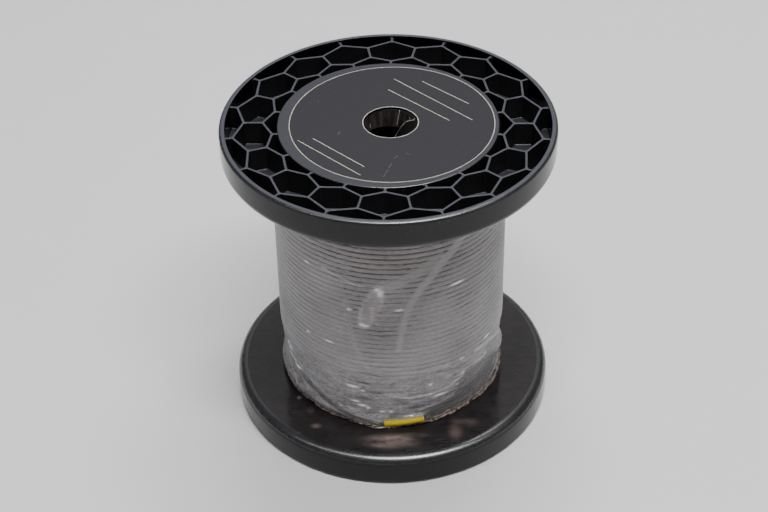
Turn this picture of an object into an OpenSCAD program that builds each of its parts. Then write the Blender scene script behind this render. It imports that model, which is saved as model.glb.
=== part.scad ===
// Delivery reel of optical fibre: two ribbed flanges on a plain barrel, the fibre wound on it
// in two layers, a stretch film round the winding and a foil label over the upper bore.
// Millimetres, +Z along the reel's axis, origin on the floor under the middle of the lower rim.

/* [Reel] */
// Outside diameter of both flanges
flange_d = 125; // [118:0.5:140]
// Overall length, from rim to rim
reel_length = 125.5; // [106:0.5:162]
// Depth of each flange, from its winding face to its rim
flange_depth = 12.5; // [11.5:0.25:16]
// Bore for the spindle
bore_d = 20; // [17:0.5:22]

/* [Flange] */
// Thickness of the web that closes the winding space
web_t = 2.5; // [1.8:0.1:3.2]
// Wall of the rim
rim_wall = 2.25; // [1.6:0.05:3]
// Rounding of the rim's outer edge
rim_round = 1.25; // [0.4:0.05:1.4]
// Rounding of the rim's edge on the winding side
lip_round = 3.75; // [1.25:0.25:4]
// Diameter of the hub disc
hub_d = 82; // [79:0.5:85]
// Thickness of the hub disc and of the wall below its edge
hub_t = 2.5; // [1.8:0.1:3.2]
// Depth of the hub disc below the rim's outer edge
hub_drop = 0.6; // [0.3:0.1:1.5]
// Rounding of the hub disc's edge
hub_round = 0.5; // [0.1:0.1:1]
// Wall of the tube round the bore
boss_wall = 3.2; // [2.2:0.1:4.4]
// Length of the tube round the bore
boss_length = 9.5; // [7.5:0.1:11]
// Chamfer at the mouth of the bore
bore_chamfer = 1.5; // [1.25:0.05:1.85]
// Thickness of the stiffening ribs hidden behind the hub disc
hub_rib_t = 1.5; // [1:0.1:2.5]
// Number of stiffening ribs behind the hub disc
hub_ribs = 6; // [3:1:8]
// Length of the ring that locates the barrel
spigot_length = 5; // [2.5:0.5:7.5]
// Wall of the ring that locates the barrel
spigot_wall = 2.5; // [1.5:0.1:3.2]

/* [Honeycomb] */
// Number of six-sided cells round the flange
cells = 18; // [12:1:24]
// Thickness of the honeycomb ribs
rib_t = 0.9; // [0.6:0.05:1.5]
// Depth of the rib tops below the rim's outer edge
rib_drop = 0.8; // [0.4:0.05:1.8]
// Distance from the cells' outer points to the rim
rim_gap = 2.75; // [2:0.05:3.75]
// Distance from the cells' inner points to the hub
hub_gap = 2; // [1.25:0.05:3]
// Height of the cells' outer point
outer_point = 4.1; // [3:0.1:5.2]
// Height of the cells' inner point
inner_point = 3.4; // [2.5:0.1:4.5]

/* [Barrel] */
// Outside diameter of the barrel
barrel_d = 80; // [77:0.5:82]
// Wall of the barrel
barrel_wall = 2.5; // [1.8:0.1:3.2]

/* [Fibre] */
// Diameter of the jacketed fibre
fibre_d = 2.2; // [1.9:0.05:2.4]
// Diameter of the clear core inside the jacket
core_d = 1; // [0.5:0.1:1.2]
// Step from one turn to the next in the real winding
wind_pitch = 2.25; // [2.2:0.05:2.6]
// Number of full layers of turns under the outer one
inner_layers = 1; // [1:1:2]
// Loops of the outer layer, its way down to the sleeve included
outer_loops = 24; // [20:1:24]
// Height above the lower web at which the outer layer stops
outer_layer_end = 26.5; // [24:0.5:30]
// Height of the fibre's end above the lower web
tail_height = 3.4; // [3.3:0.1:5]

/* [End sleeve] */
// Outside diameter of the sleeve on the fibre's end
sleeve_d = 2.8; // [2.6:0.05:3.2]
// Length of the sleeve along the fibre
sleeve_length = 15; // [8:0.5:17]
// Direction of the sleeve's middle, counted from +X
sleeve_angle = 277.5; // [240:0.5:300]
// How far the fibre's cut end stands out of the sleeve
tip_out = 0.4; // [0.1:0.1:1.2]

/* [Film] */
// Thickness of the film, several turns of it together
film_t = 0.2; // [0.1:0.05:0.4]
// Space between the film and what it is wrapped round
film_gap = 0.1; // [0.05:0.05:0.3]
// How far the gathered hem is drawn in
hem_draw = 1.5; // [0.8:0.1:1.9]
// Height of the drawn-in hem
hem_height = 1.8; // [1.5:0.1:1.9]
// Thickness of the gathered hem
hem_t = 0.9; // [0.5:0.1:1.1]

/* [Label] */
// Diameter of the foil label
label_d = 76; // [70:0.5:77.5]
// Thickness of the foil
label_t = 0.15; // [0.1:0.05:0.3]
// How far the label was stuck on off centre
label_shift = 1.4; // [0:0.1:1.8]
// Diameter of the hole cut in the label
label_hole_d = 20.2; // [19.8:0.1:21.5]
// How far the label's hole lies off centre
hole_shift = 0.9; // [0.7:0.1:1.2]
// Width of the cut round the flap
flap_kerf = 0.15; // [0.05:0.05:0.4]
// Distance of the flap's crease from the reel's axis
crease_x = 10.2; // [10.1:0.05:10.3]
// How far the flap hangs down into the bore
flap_hang = 55; // [40:1:62]
// How far the flap can be pressed down
flap_hang_max = 66; // [62:1:68]
// Clearance between the flap and the bore
flap_clear = 0.3; // [0.2:0.05:0.45]

/* [Hidden] */
$fn = 96;
fit = 0.05;                          // gap between pieces that are pushed together
far = 2 * flange_d;                  // reaches past the whole reel

flange_r = flange_d / 2;
rim_in_r = flange_r - rim_wall;
hub_r = hub_d / 2;
bore_r = bore_d / 2;
barrel_r = barrel_d / 2;
barrel_in_r = barrel_r - barrel_wall;
spigot_r = barrel_in_r - fit;
hub_top = flange_depth - hub_drop;   // the hub disc's face above the winding face
traverse = reel_length - 2 * flange_depth;

// Turns that lie in the grooves of the layer below rise by less than a diameter.
layer_step = sqrt(pow(fibre_d, 2) - pow(wind_pitch / 2, 2));
turn_r = barrel_r + fibre_d / 2 + inner_layers * layer_step;
rings = 24;                          // rings of the outer layer's tube in each loop
ring_angle = 360 / rings;
sides = 6;
// The tube's loops are polygons, so the plain core stays inside their flats.
inner_layers_r = (turn_r - fibre_d / 2) * cos(ring_angle / 2) - fit / 2;

tail_z = flange_depth + tail_height;
sleeve_half = asin(sleeve_length / 2 / turn_r);
tip_start = sleeve_angle - sleeve_half;
tip_span = 2 * sleeve_half + tip_out / turn_r * 180 / PI;
// The last loop leaves the outer layer and comes down to the sleeve.
layer_loops = outer_loops - 1;
wind_top = reel_length - flange_depth - fibre_d / 2 - fit;
wind_low = flange_depth + outer_layer_end + fibre_d / 2;
form_pitch = (wind_top - wind_low) / layer_loops;
way_down = 0.55;                     // share of the last loop in which the fibre comes down
film_in_r = turn_r + max(fibre_d, sleeve_d) / 2 + film_gap;
film_r = film_in_r + film_t;

// ---- flanges ----

// A corner's round: what a fillet of radius r takes off the corner at the origin.
module corner_cut(r) {
    difference() {
        translate([-r, -r]) square([r + 1, r + 1]);
        translate([-r, -r]) circle(r);
    }
}

// Half section of the rim with the web that it stands on, from the winding face up.
module rim_section() {
    difference() {
        union() {
            translate([rim_in_r, 0]) square([rim_wall, flange_depth]);
            translate([barrel_in_r - spigot_wall - fit, 0])
                square([flange_r - barrel_in_r + spigot_wall + fit, web_t]);
        }
        translate([flange_r, flange_depth]) corner_cut(rim_round);
        translate([flange_r, 0]) mirror([0, 1]) corner_cut(lip_round);
    }
}

// Half section of the hub: its disc, the wall under the disc's edge, the tube round the bore
// and the ring that the barrel is pushed over.
module hub_section() {
    difference() {
        translate([0, hub_top - hub_t]) square([hub_r, hub_t]);
        translate([hub_r, hub_top]) corner_cut(hub_round);
    }
    translate([hub_r - hub_t, 0]) square([hub_t, hub_top - hub_t / 2]);
    translate([0, hub_top - boss_length]) square([bore_r + boss_wall, boss_length - hub_t / 2]);
    translate([spigot_r - spigot_wall, -spigot_length]) square([spigot_wall, spigot_length + web_t]);
}

// Void of the bore with its chamfered mouth, narrowed by gap, for a hub face at z = 0.
module bore_void(gap, below, above) {
    r = bore_r - gap;
    rotate_extrude() polygon([[0, -below], [r, -below], [r, -bore_chamfer],
        [r + bore_chamfer, 0], [r + bore_chamfer, above], [0, above]]);
}

// A rib's outline from point a to point b, long enough to close the joint with its neighbours.
module rib(a, b) {
    d = b - a;
    translate(a) rotate(atan2(d[1], d[0]))
        translate([-rib_t / 2, -rib_t / 2]) square([norm(d) + rib_t, rib_t]);
}

function polar(r, a) = [r * cos(a), r * sin(a)];

// Six-sided cells between hub and rim, their points tied to the rim and to the hub.
module honeycomb() {
    outer = rim_in_r - rim_gap;
    inner = hub_r + hub_gap;
    half = 180 / cells;
    for (i = [0 : cells - 1]) {
        a = 90 + i * 2 * half;
        side_out = polar(outer - outer_point, a + half);
        side_in = polar(inner + inner_point, a + half);
        rib(polar(rim_in_r + rim_wall / 3, a), polar(outer, a));
        rib(polar(outer, a), side_out);
        rib(polar(outer, a + 2 * half), side_out);
        rib(side_out, side_in);
        rib(side_in, polar(inner, a));
        rib(side_in, polar(inner, a + 2 * half));
        rib(polar(inner, a), polar(hub_r - hub_t / 2, a));
    }
}

// One flange with its winding face at z = 0 and its rim upwards.
module flange() {
    color("#29282b") difference() {
        union() {
            rotate_extrude() rim_section();
            rotate_extrude() hub_section();
            translate([0, 0, web_t / 2])
                linear_extrude(flange_depth - rib_drop - web_t / 2) honeycomb();
            for (i = [0 : hub_ribs - 1]) rotate(i * 360 / hub_ribs)
                translate([bore_r + boss_wall / 2, -hub_rib_t / 2, web_t])
                    cube([hub_r - hub_t / 2 - bore_r - boss_wall / 2, hub_rib_t, hub_top - hub_t / 2 - web_t]);
        }
        translate([0, 0, hub_top]) bore_void(0, boss_length + 1, 1);
    }
}

module upper_flange() {
    translate([0, 0, reel_length - flange_depth]) flange();
}

module lower_flange() {
    translate([0, 0, flange_depth]) mirror([0, 0, 1]) flange();
}

// ---- barrel and winding ----

module ring_tube(r_out, r_in, h) {
    difference() {
        cylinder(r = r_out, h = h);
        translate([0, 0, -1]) cylinder(r = r_in, h = h + 2);
    }
}

// Plain tube that the fibre is wound on, pushed over both locating rings.
module barrel() {
    color("#1f1e21") translate([0, 0, flange_depth]) ring_tube(barrel_r, barrel_in_r, traverse);
}

// The inner layers of turns, as one plain core.
module fibre_inner_layers() {
    color("#77767a") translate([0, 0, flange_depth])
        ring_tube(inner_layers_r, barrel_r + fit, traverse);
}

// Angle and height along the outer layer; t counts its rings from the top.
function turn_angle(t) = tip_start - (outer_loops * rings + 1 - t) * ring_angle;
function smooth(x) = let (c = min(max(x, 0), 1)) c * c * (3 - 2 * c);
function turn_z(t) = let (loop = t / rings)
    loop < layer_loops
        ? wind_top - form_pitch * loop
        : wind_low + (tail_z - wind_low) * smooth((loop - layer_loops) / way_down);

// One ring of the tube: its flats face the turns above and below.
function ring_points(angle, z, along) = [for (k = [0 : sides - 1])
    let (r = turn_r + fibre_d / 2 * cos(k * 360 / sides))
    [r * cos(angle) - along * sin(angle), r * sin(angle) + along * cos(angle),
        z + fibre_d / 2 * sin(k * 360 / sides)]];

last_ring = outer_loops * rings;
first_angle = turn_angle(0) - ring_angle;
// Both ends run straight for one diameter and are cut square.
tube_rings = concat(
    [ring_points(first_angle, turn_z(0), 0), ring_points(first_angle, turn_z(0), fibre_d)],
    [for (t = [0 : last_ring]) ring_points(turn_angle(t), turn_z(t), 0)],
    [ring_points(tip_start, tail_z, -fibre_d), ring_points(tip_start, tail_z, 0)]);

// Least gap between one loop and the next, over the points of neighbouring rings.
wound = [for (t = [0 : last_ring]) tube_rings[t + 2]];
least_gap = min([for (t = [0 : last_ring - rings - 1]) for (n = [-1 : 1])
    for (p = wound[t]) for (q = wound[t + rings + n]) norm(p - q)]);
echo(outer_layer_least_gap = least_gap);
echo(outer_layer_length_m = (layer_loops * norm([2 * PI * turn_r, form_pitch]) + 2 * PI * turn_r) / 1000);

// The outer layer of turns with the way down to the sleeve, one unbroken tube.
module fibre_outer_layer() {
    points = [for (ring = tube_rings) for (p = ring) p];
    count = len(tube_rings);
    last = (count - 1) * sides;
    color("#8d8c90") polyhedron(points, concat(
        [for (i = [0 : count - 2]) for (k = [0 : sides - 1]) let (n = (k + 1) % sides)
            [i * sides + k, (i + 1) * sides + k, (i + 1) * sides + n]],
        [for (i = [0 : count - 2]) for (k = [0 : sides - 1]) let (n = (k + 1) % sides)
            [i * sides + k, (i + 1) * sides + n, i * sides + n]],
        [for (k = [1 : sides - 2]) [0, k, k + 1]],
        [for (k = [1 : sides - 2]) [last, last + k + 1, last + k]]));
}

// A stretch of round bar or tube that follows the winding at the fibre's end.
module end_bar(r_out, r_in, start, span) {
    translate([0, 0, tail_z]) rotate(start) rotate_extrude(angle = span) translate([turn_r, 0])
        difference() {
            circle(r_out);
            if (r_in > 0) circle(r_in);
        }
}

// The fibre's last stretch, inside the sleeve.
module fibre_tip() {
    color("#5c5b60") end_bar(fibre_d / 2, core_d / 2 + fit / 2, tip_start, tip_span);
}

// The clear light guide that shows at the fibre's cut end.
module fibre_core() {
    color("#e6edf0") end_bar(core_d / 2, 0, tip_start, tip_span);
}

// The marker sleeve pushed over the fibre's end.
module end_sleeve() {
    color("#d8c21c") end_bar(sleeve_d / 2, fibre_d / 2 + fit / 2, tip_start, 2 * sleeve_half);
}

// ---- film ----

// The stretch film round the winding, its lower edge drawn in and gathered to a hem.
module film_wrap() {
    top = reel_length - flange_depth - fit;
    low = flange_depth + fit;
    draw = film_in_r - hem_draw;
    color("#b9b7b4") rotate_extrude() polygon([[film_in_r, top], [film_in_r, low + hem_height],
        [draw, low + hem_t], [draw, low], [draw + hem_t, low],
        [film_r, low + hem_height], [film_r, top]]);
}

// ---- label ----

// The foil disc stuck on the upper hub, with its hole cut all round but for the crease.
module label() {
    color("#444246") translate([0, 0, reel_length - hub_drop]) difference() {
        translate([label_shift, 0, 0]) cylinder(d = label_d, h = label_t);
        intersection() {
            translate([hole_shift, 0, -1]) cylinder(d = label_hole_d, h = label_t + 2);
            translate([crease_x - far, -far / 2, -1]) cube([far, far, label_t + 2]);
        }
    }
}

// The cut-out disc, still held at its crease. It is drawn flat about the crease and turned
// down, and its sides are trimmed so that it swings clear of the bore as far as it is pressed.
module label_flap() {
    crease_gap = 1.35 * label_t;
    translate([crease_x, 0, reel_length - hub_drop + label_t]) rotate([0, -flap_hang, 0])
        color("#38363a") intersection() {
            translate([hole_shift - crease_x, 0, -label_t])
                cylinder(d = label_hole_d - 2 * flap_kerf, h = label_t);
            translate([-far - crease_gap, -far / 2, -1]) cube([far, far, 2]);
            rotate([0, flap_hang_max, 0]) translate([-crease_x, 0, -label_t])
                bore_void(flap_clear, 3 * boss_length, label_t);
        }
}

upper_flange();
lower_flange();
barrel();
fibre_inner_layers();
fibre_outer_layer();
fibre_tip();
fibre_core();
end_sleeve();
film_wrap();
label();
label_flap();
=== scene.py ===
from math import atan2, cos, degrees, hypot, pi, radians, sin, sqrt, tan, tau

import bmesh
import bpy
import numpy as np
from mathutils import Matrix, Vector, noise


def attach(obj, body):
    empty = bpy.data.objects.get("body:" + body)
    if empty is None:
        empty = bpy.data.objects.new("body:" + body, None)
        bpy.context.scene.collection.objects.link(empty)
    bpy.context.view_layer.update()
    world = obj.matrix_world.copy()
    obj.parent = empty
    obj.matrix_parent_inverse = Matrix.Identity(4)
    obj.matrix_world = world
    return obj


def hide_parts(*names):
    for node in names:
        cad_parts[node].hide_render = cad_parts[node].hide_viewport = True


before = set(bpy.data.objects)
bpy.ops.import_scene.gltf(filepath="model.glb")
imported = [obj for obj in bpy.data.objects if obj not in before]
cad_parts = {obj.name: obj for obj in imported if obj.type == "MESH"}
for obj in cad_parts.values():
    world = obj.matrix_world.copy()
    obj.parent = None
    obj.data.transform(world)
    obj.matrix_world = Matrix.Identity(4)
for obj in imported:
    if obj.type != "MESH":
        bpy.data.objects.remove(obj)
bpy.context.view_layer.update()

bpy.ops.object.select_all(action="DESELECT")

# ---- Table top, light and camera ----
# The reel stands on a pale grey laminate board, under two long ceiling lamps close to the
# zenith and an even light from all round, as in an office or a lab.
MM = 0.001


def colour(hex_value):
    """A shader socket's linear colour from an sRGB hex value."""
    parts = [int(hex_value[i:i + 2], 16) / 255 for i in (1, 3, 5)]
    return [p / 12.92 if p <= 0.04045 else ((p + 0.055) / 1.055) ** 2.4 for p in parts] + [1]


def feed(node, inputs):
    """Gives each socket a value, a hex colour, or a link from a socket or another node."""
    for socket, value in dict(inputs).items():
        if isinstance(value, bpy.types.Node):
            value = next(output for output in value.outputs if output.enabled)
        if isinstance(value, bpy.types.NodeSocket):
            node.id_data.links.new(value, node.inputs[socket])
        else:
            node.inputs[socket].default_value = colour(value) if isinstance(value, str) else value
    return node


def add(tree, kind, inputs=(), **settings):
    """Adds a node, gives it its settings and feeds its sockets."""
    node = tree.nodes.new(kind)
    for name, value in settings.items():
        setattr(node, name, value)
    return feed(node, inputs)


def finish_of(name, **sockets):
    """A new material with a Principled shader: (material, its node tree, the shader)."""
    material = bpy.data.materials.new(name)
    material.use_nodes = True
    shader = material.node_tree.nodes["Principled BSDF"]
    feed(shader, {socket.replace("_", " "): value for socket, value in sockets.items()})
    return material, material.node_tree, shader


def place_in(tree):
    """The place on the piece, which the noises go by."""
    return add(tree, "ShaderNodeTexCoord").outputs["Object"]


def clouds(tree, place, size, **inputs):
    """Noise in patches of about that size in mm."""
    return add(tree, "ShaderNodeTexNoise", {"Vector": place, "Scale": 1 / (size * MM), **inputs})


def mixed(tree, share, first, second):
    """A colour between two, with that share of the second."""
    return add(tree, "ShaderNodeMix", {"Factor": share, "A": first, "B": second},
               data_type="RGBA")


def mottled(name, size, dark, light, detail=3, **sockets):
    """A material that drifts between two colours, in patches of about that size in mm."""
    material, tree, shader = finish_of(name, **sockets)
    patches = clouds(tree, place_in(tree), size, Detail=detail)
    feed(shader, {"Base Color": mixed(tree, patches, dark, light)})
    return material


# Laminate board: smooth and dull, with a faint cloudiness a few centimetres wide.
board = mottled("laminate_board", 40, "#efefef", "#f2f1f2", Roughness=0.75)
TABLE_SIZE = 6                   # metres, so that its edges are out of sight
bpy.ops.mesh.primitive_plane_add(size=TABLE_SIZE)
table = bpy.context.object
table.name = "table_top"
table.data.materials.append(board)

world = bpy.data.worlds.new("room")
world.use_nodes = True
feed(world.node_tree.nodes["Background"], {"Color": "#d4d5da", "Strength": 0.37})
bpy.context.scene.world = world

# Name, middle, tilt, size and power of each lamp. The last three only show as reflections:
# the bare tubes of the front lamp, those of the lamps further along its row, and the room's
# sunlit far wall.
LAMPS = [
    ("lamp_front", (0.18, -0.41, 1.32), (0, 0, 0), (0.80, 0.11), 13.6),
    ("lamp_back", (0.12, 0.45, 1.30), (0, 0, 0), (0.80, 0.11), 11.0),
    ("bare_tubes", (0.24, -0.41, 1.32), (0, 0, 0), (0.60, 0.08), 19.0),
    ("lamp_row", (0.10, -0.41, 1.32), (0, 0, 0), (2.80, 0.08), 9.0),
    ("far_wall", (0, 2.0, 1.65), (-52, 0, 0), (3.2, 1.5), 6.4),
]
for name, middle, tilt, size, power in LAMPS:
    lamp = bpy.data.lights.new(name, "AREA")
    lamp.shape = "RECTANGLE"
    lamp.size, lamp.size_y = size
    lamp.energy = power
    lamp_object = bpy.data.objects.new(name, lamp)
    lamp_object.location = middle
    lamp_object.rotation_euler = [radians(angle) for angle in tilt]
    lamp_object.visible_diffuse = name in ("lamp_front", "lamp_back")
    bpy.context.scene.collection.objects.link(lamp_object)

# The camera looks down at the middle of the reel's axis, from a little to its left.
CAMERA_LENS, CAMERA_SENSOR = 82.9, 36      # mm
CAMERA_TARGET = Vector((0, 0, 62.5 * MM))
CAMERA_BACK = Vector((-2.53 * MM, -0.10 * MM, 689.6 * MM))    # right, up and back from there
CAMERA_DOWN, CAMERA_SIDE, CAMERA_ROLL = (radians(angle) for angle in (38.18, 2.31, -1.16))
camera_data = bpy.data.cameras.new("camera")
camera_data.lens, camera_data.sensor_width = CAMERA_LENS, CAMERA_SENSOR
camera = bpy.data.objects.new("camera", camera_data)
aim = Matrix.Rotation(CAMERA_SIDE, 4, "Z") @ Matrix.Rotation(pi / 2 - CAMERA_DOWN, 4, "X")
camera.matrix_world = (Matrix.Translation(CAMERA_TARGET + aim @ CAMERA_BACK) @ aim
                       @ Matrix.Rotation(CAMERA_ROLL, 4, "Z"))
bpy.context.scene.collection.objects.link(camera)
bpy.context.scene.camera = camera

# ---- The two flanges ----
# Each is one injection moulding in black ABS: a web and a rounded rim on the winding side,
# and outside them 18 six-sided cells between the rim and a flat hub. The winding face and the
# rim are polished; the hub and the ribs left the mould with a satin grain.
REEL_TOP = 125.5
FLANGE_R, FLANGE_DEPTH = 62.5, 12.5
RIM_IN_R = 60.25
HUB_R, HUB_TOP = 41.0, 11.9      # heights from here on are above the winding face
RIB_TOP, FLOOR_TOP = 11.7, 2.5
RIB_T = 0.9
CELLS = 18
STEPS = 216                      # sections of each turned piece; a multiple of the cells


def polar(radius, angle, height):
    """A point in metres from its radius in mm, its angle in degrees and its height in mm."""
    angle = np.radians(angle)
    return radius * np.cos(angle) * MM, radius * np.sin(angle) * MM, height * MM


def rounded(corners):
    """Points of an outline from its corners (radius, height, rounding), arcs drawn in."""
    points = []
    for i, (r, z, rounding) in enumerate(corners):
        here = Vector((r, z))
        if not rounding:
            points.append(here)
            continue
        before = (Vector(corners[i - 1][:2]) - here).normalized()
        after = (Vector(corners[(i + 1) % len(corners)][:2]) - here).normalized()
        half = before.angle(after) / 2
        middle = here + (before + after).normalized() * rounding / sin(half)
        start = here + before * rounding / tan(half) - middle
        sweep = start.angle_signed(here + after * rounding / tan(half) - middle)
        count = max(3, round(abs(sweep) * (5 if rounding > 2 else 3)))
        for k in range(count + 1):
            points.append(middle + Matrix.Rotation(-sweep * k / count, 2) @ start)
    return points


def edit_all():
    """Opens the piece in hand for editing, if it isn't open, and selects all of it."""
    bpy.ops.object.mode_set(mode="EDIT")
    bpy.ops.mesh.select_all(action="SELECT")


def extrude(x, y, z):
    """Extrudes what is selected, by these mm."""
    bpy.ops.mesh.extrude_region_move(TRANSFORM_OT_translate={"value": (x * MM, y * MM, z * MM)})


def weld(distance=0.002):
    """Joins the verts of the mesh in hand that lie that close in mm, and turns its faces out."""
    edit_all()
    bpy.ops.mesh.remove_doubles(threshold=distance * MM)
    bpy.ops.mesh.normals_make_consistent(inside=False)


def turn(name, corners):
    """Turns a closed half section about the reel's axis and leaves the piece in edit mode."""
    outline = rounded(corners)
    bpy.ops.mesh.primitive_plane_add(size=MM)
    bpy.context.object.name = name
    edit_all()
    bpy.ops.mesh.merge(type="CENTER")
    bpy.ops.transform.translate(value=(outline[0].x * MM, 0, outline[0].y * MM))
    for a, b in zip(outline, outline[1:] + outline[:1]):
        extrude(b.x - a.x, 0, b.y - a.y)
    edit_all()
    bpy.ops.mesh.spin(steps=STEPS, angle=tau, center=(0, 0, 0), axis=(0, 0, 1))
    weld()
    return bpy.context.object


def pick(wanted):
    """Selects just the edges of the mesh in hand for which wanted() is true."""
    bpy.ops.mesh.select_mode(type="EDGE")
    bpy.ops.mesh.select_all(action="DESELECT")
    mesh = bmesh.from_edit_mesh(bpy.context.object.data)
    mesh.normal_update()
    for edge in mesh.edges:
        if wanted(edge):
            edge.select_set(True)
    mesh.select_flush_mode()
    bmesh.update_edit_mesh(bpy.context.object.data)


def done(weighted=False):
    """Leaves edit mode and shades the piece in hand smooth, its flat faces kept flat."""
    bpy.ops.object.mode_set(mode="OBJECT")
    bpy.ops.object.shade_smooth_by_angle(angle=radians(40))
    if weighted:
        bpy.ops.object.modifier_add(type="WEIGHTED_NORMAL")
        modifier = bpy.context.object.modifiers[-1]
        modifier.keep_sharp = True
        bpy.ops.object.modifier_apply(modifier=modifier.name)
    bpy.ops.object.select_all(action="DESELECT")


def join(pieces):
    """Joins the pieces into the first one."""
    bpy.ops.object.select_all(action="DESELECT")
    for piece in pieces:
        piece.select_set(True)
    bpy.context.view_layer.objects.active = pieces[0]
    bpy.ops.object.join()
    bpy.ops.object.select_all(action="DESELECT")
    return pieces[0]


BORE_R, BORE_CHAMFER = 10.0, 1.5
LIP_ROUND, RIM_ROUND = 3.75, 1.25
BOSS_R, BOSS_END = 13.2, 3.2
HUB_IN_R, HUB_UNDER, HUB_ROUND = 38.5, 9.4, 0.4
SPIGOT_R, SPIGOT_IN_R, SPIGOT_LENGTH = 37.45, 34.95, 5.0
POCKET_FLOOR, OVERLAP = 1.9, 0.3     # where the honeycomb is sunk in, and how far sideways
body = turn("upper_flange_moulding", [
    (SPIGOT_IN_R, -SPIGOT_LENGTH, 0.4), (SPIGOT_R, -SPIGOT_LENGTH, 0.6), (SPIGOT_R, 0, 0),
    (FLANGE_R, 0, LIP_ROUND), (FLANGE_R, FLANGE_DEPTH, RIM_ROUND),
    (RIM_IN_R, FLANGE_DEPTH, 0.2), (RIM_IN_R, RIB_TOP, 0),
    (RIM_IN_R + OVERLAP, RIB_TOP - 0.05, 0), (RIM_IN_R + OVERLAP, POCKET_FLOOR, 0),
    (HUB_R - OVERLAP, POCKET_FLOOR, 0), (HUB_R - OVERLAP, RIB_TOP - 0.1, 0),
    (HUB_R, RIB_TOP - 0.05, 0), (HUB_R, HUB_TOP, HUB_ROUND),
    (BORE_R + BORE_CHAMFER, HUB_TOP, 0.25), (BORE_R, HUB_TOP - BORE_CHAMFER, 0.4),
    (BORE_R, BOSS_END, 0.25), (BOSS_R, BOSS_END, 0.4), (BOSS_R, HUB_UNDER, 0.6),
    (HUB_IN_R, HUB_UNDER, 0.6), (HUB_IN_R, FLOOR_TOP, 0.4), (SPIGOT_IN_R, FLOOR_TOP, 0.4)])
done(weighted=True)


def at(radius, angle):
    """A point of the rib tops' plane, its angle in cells counted from the first cell."""
    return polar(radius, 90 + angle * 360 / CELLS, RIB_TOP)


# Corner radii of a cell, along the middles of its ribs.
OUTER_R, SIDE_OUT_R, SIDE_IN_R, INNER_R = 57.5, 53.4, 46.4, 43.0
arc = [k / (STEPS / CELLS) for k in range(STEPS // CELLS + 1)]
outlines = [
    [at(INNER_R, 0), at(SIDE_IN_R, 0.5), at(SIDE_OUT_R, 0.5), at(OUTER_R, 0),
     at(SIDE_OUT_R, -0.5), at(SIDE_IN_R, -0.5)],
    [at(OUTER_R, 0), at(SIDE_OUT_R, 0.5), at(OUTER_R, 1)]
    + [at(RIM_IN_R + RIB_T / 2, 1 - k) for k in arc],
    [at(INNER_R, 1), at(SIDE_IN_R, 0.5), at(INNER_R, 0)]
    + [at(HUB_R - RIB_T / 2, k) for k in arc],
]
for outline in outlines:
    bpy.ops.mesh.primitive_circle_add(vertices=len(outline), fill_type="NGON")
    bpy.ops.object.mode_set(mode="EDIT")
    mesh = bmesh.from_edit_mesh(bpy.context.object.data)
    for corner, point in zip([v for v in mesh.verts if v.select], outline):
        corner.co = point
    bmesh.update_edit_mesh(bpy.context.object.data)
honeycomb = bpy.context.object
edit_all()
bpy.ops.mesh.spin(steps=CELLS - 1, dupli=True, angle=tau * (CELLS - 1) / CELLS,
                  center=(0, 0, 0), axis=(0, 0, 1))
weld(0.005)
bpy.ops.mesh.inset(thickness=RIB_T / 2 * MM, use_individual=True, use_even_offset=True)
extrude(0, 0, FLOOR_TOP - RIB_TOP)
pick(lambda edge: edge.is_boundary)
HONEYCOMB_LOW = 1.3              # inside the moulding, below its pocket's floor
extrude(0, 0, HONEYCOMB_LOW - RIB_TOP)
bpy.ops.mesh.bridge_edge_loops()
weld()


def upright_edge(edge):
    """A cell's upright corner, where two walls meet."""
    low, high = sorted(v.co.z for v in edge.verts)
    return (abs(low - FLOOR_TOP * MM) < 1e-6 and abs(high - RIB_TOP * MM) < 1e-6
            and edge.calc_face_angle(0) > radians(15))


def level_edge(height):
    """A test for the edges at that height where a wall meets the ribs' tops or the floor."""
    def test(edge):
        return (all(abs(v.co.z - height * MM) < 1e-6 for v in edge.verts)
                and sum(abs(face.normal.z) < 0.3 for face in edge.link_faces) == 1
                and min(face.calc_center_median().z for face in edge.link_faces) > 2.4 * MM
                and all(HUB_R - 0.4 < v.co.xy.length / MM < RIM_IN_R + 0.4 for v in edge.verts))
    return test


# The mould's cutter left the corners, the floors and the ribs' tops a little round.
for test, rounding in ((upright_edge, 0.55), (level_edge(FLOOR_TOP), 0.4),
                       (level_edge(RIB_TOP), 0.16)):
    pick(test)
    bpy.ops.mesh.bevel(offset=rounding * MM, segments=3, affect="EDGES", clamp_overlap=False)
done(weighted=True)


def block(sizes, rounding, place):
    """A block of these sizes in mm with rounded edges, put in its place by a matrix."""
    bpy.ops.mesh.primitive_cube_add(size=1)
    edit_all()
    bpy.ops.transform.resize(value=[size * MM for size in sizes])
    bpy.ops.mesh.bevel(offset=rounding * MM, segments=2, affect="EDGES")
    bpy.ops.object.mode_set(mode="OBJECT")
    bpy.context.object.data.transform(place)
    return bpy.context.object


# Six ribs stiffen the hollow behind the hub, and end 1 mm inside it.
RIB_IN_R, RIB_OUT_R, RIB_BEHIND_T = 11.6, 39.5, 1.5
RIB_BEHIND_TOP = HUB_UNDER + 1
to_middle = Matrix.Translation(((RIB_OUT_R + RIB_IN_R) / 2 * MM, 0,
                                (RIB_BEHIND_TOP + FLOOR_TOP) / 2 * MM))
stiffeners = [block((RIB_OUT_R - RIB_IN_R, RIB_BEHIND_T, RIB_BEHIND_TOP - FLOOR_TOP), 0.25,
                    Matrix.Rotation(radians(60 * i), 4, "Z") @ to_middle)
              for i in range(6)]

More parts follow.
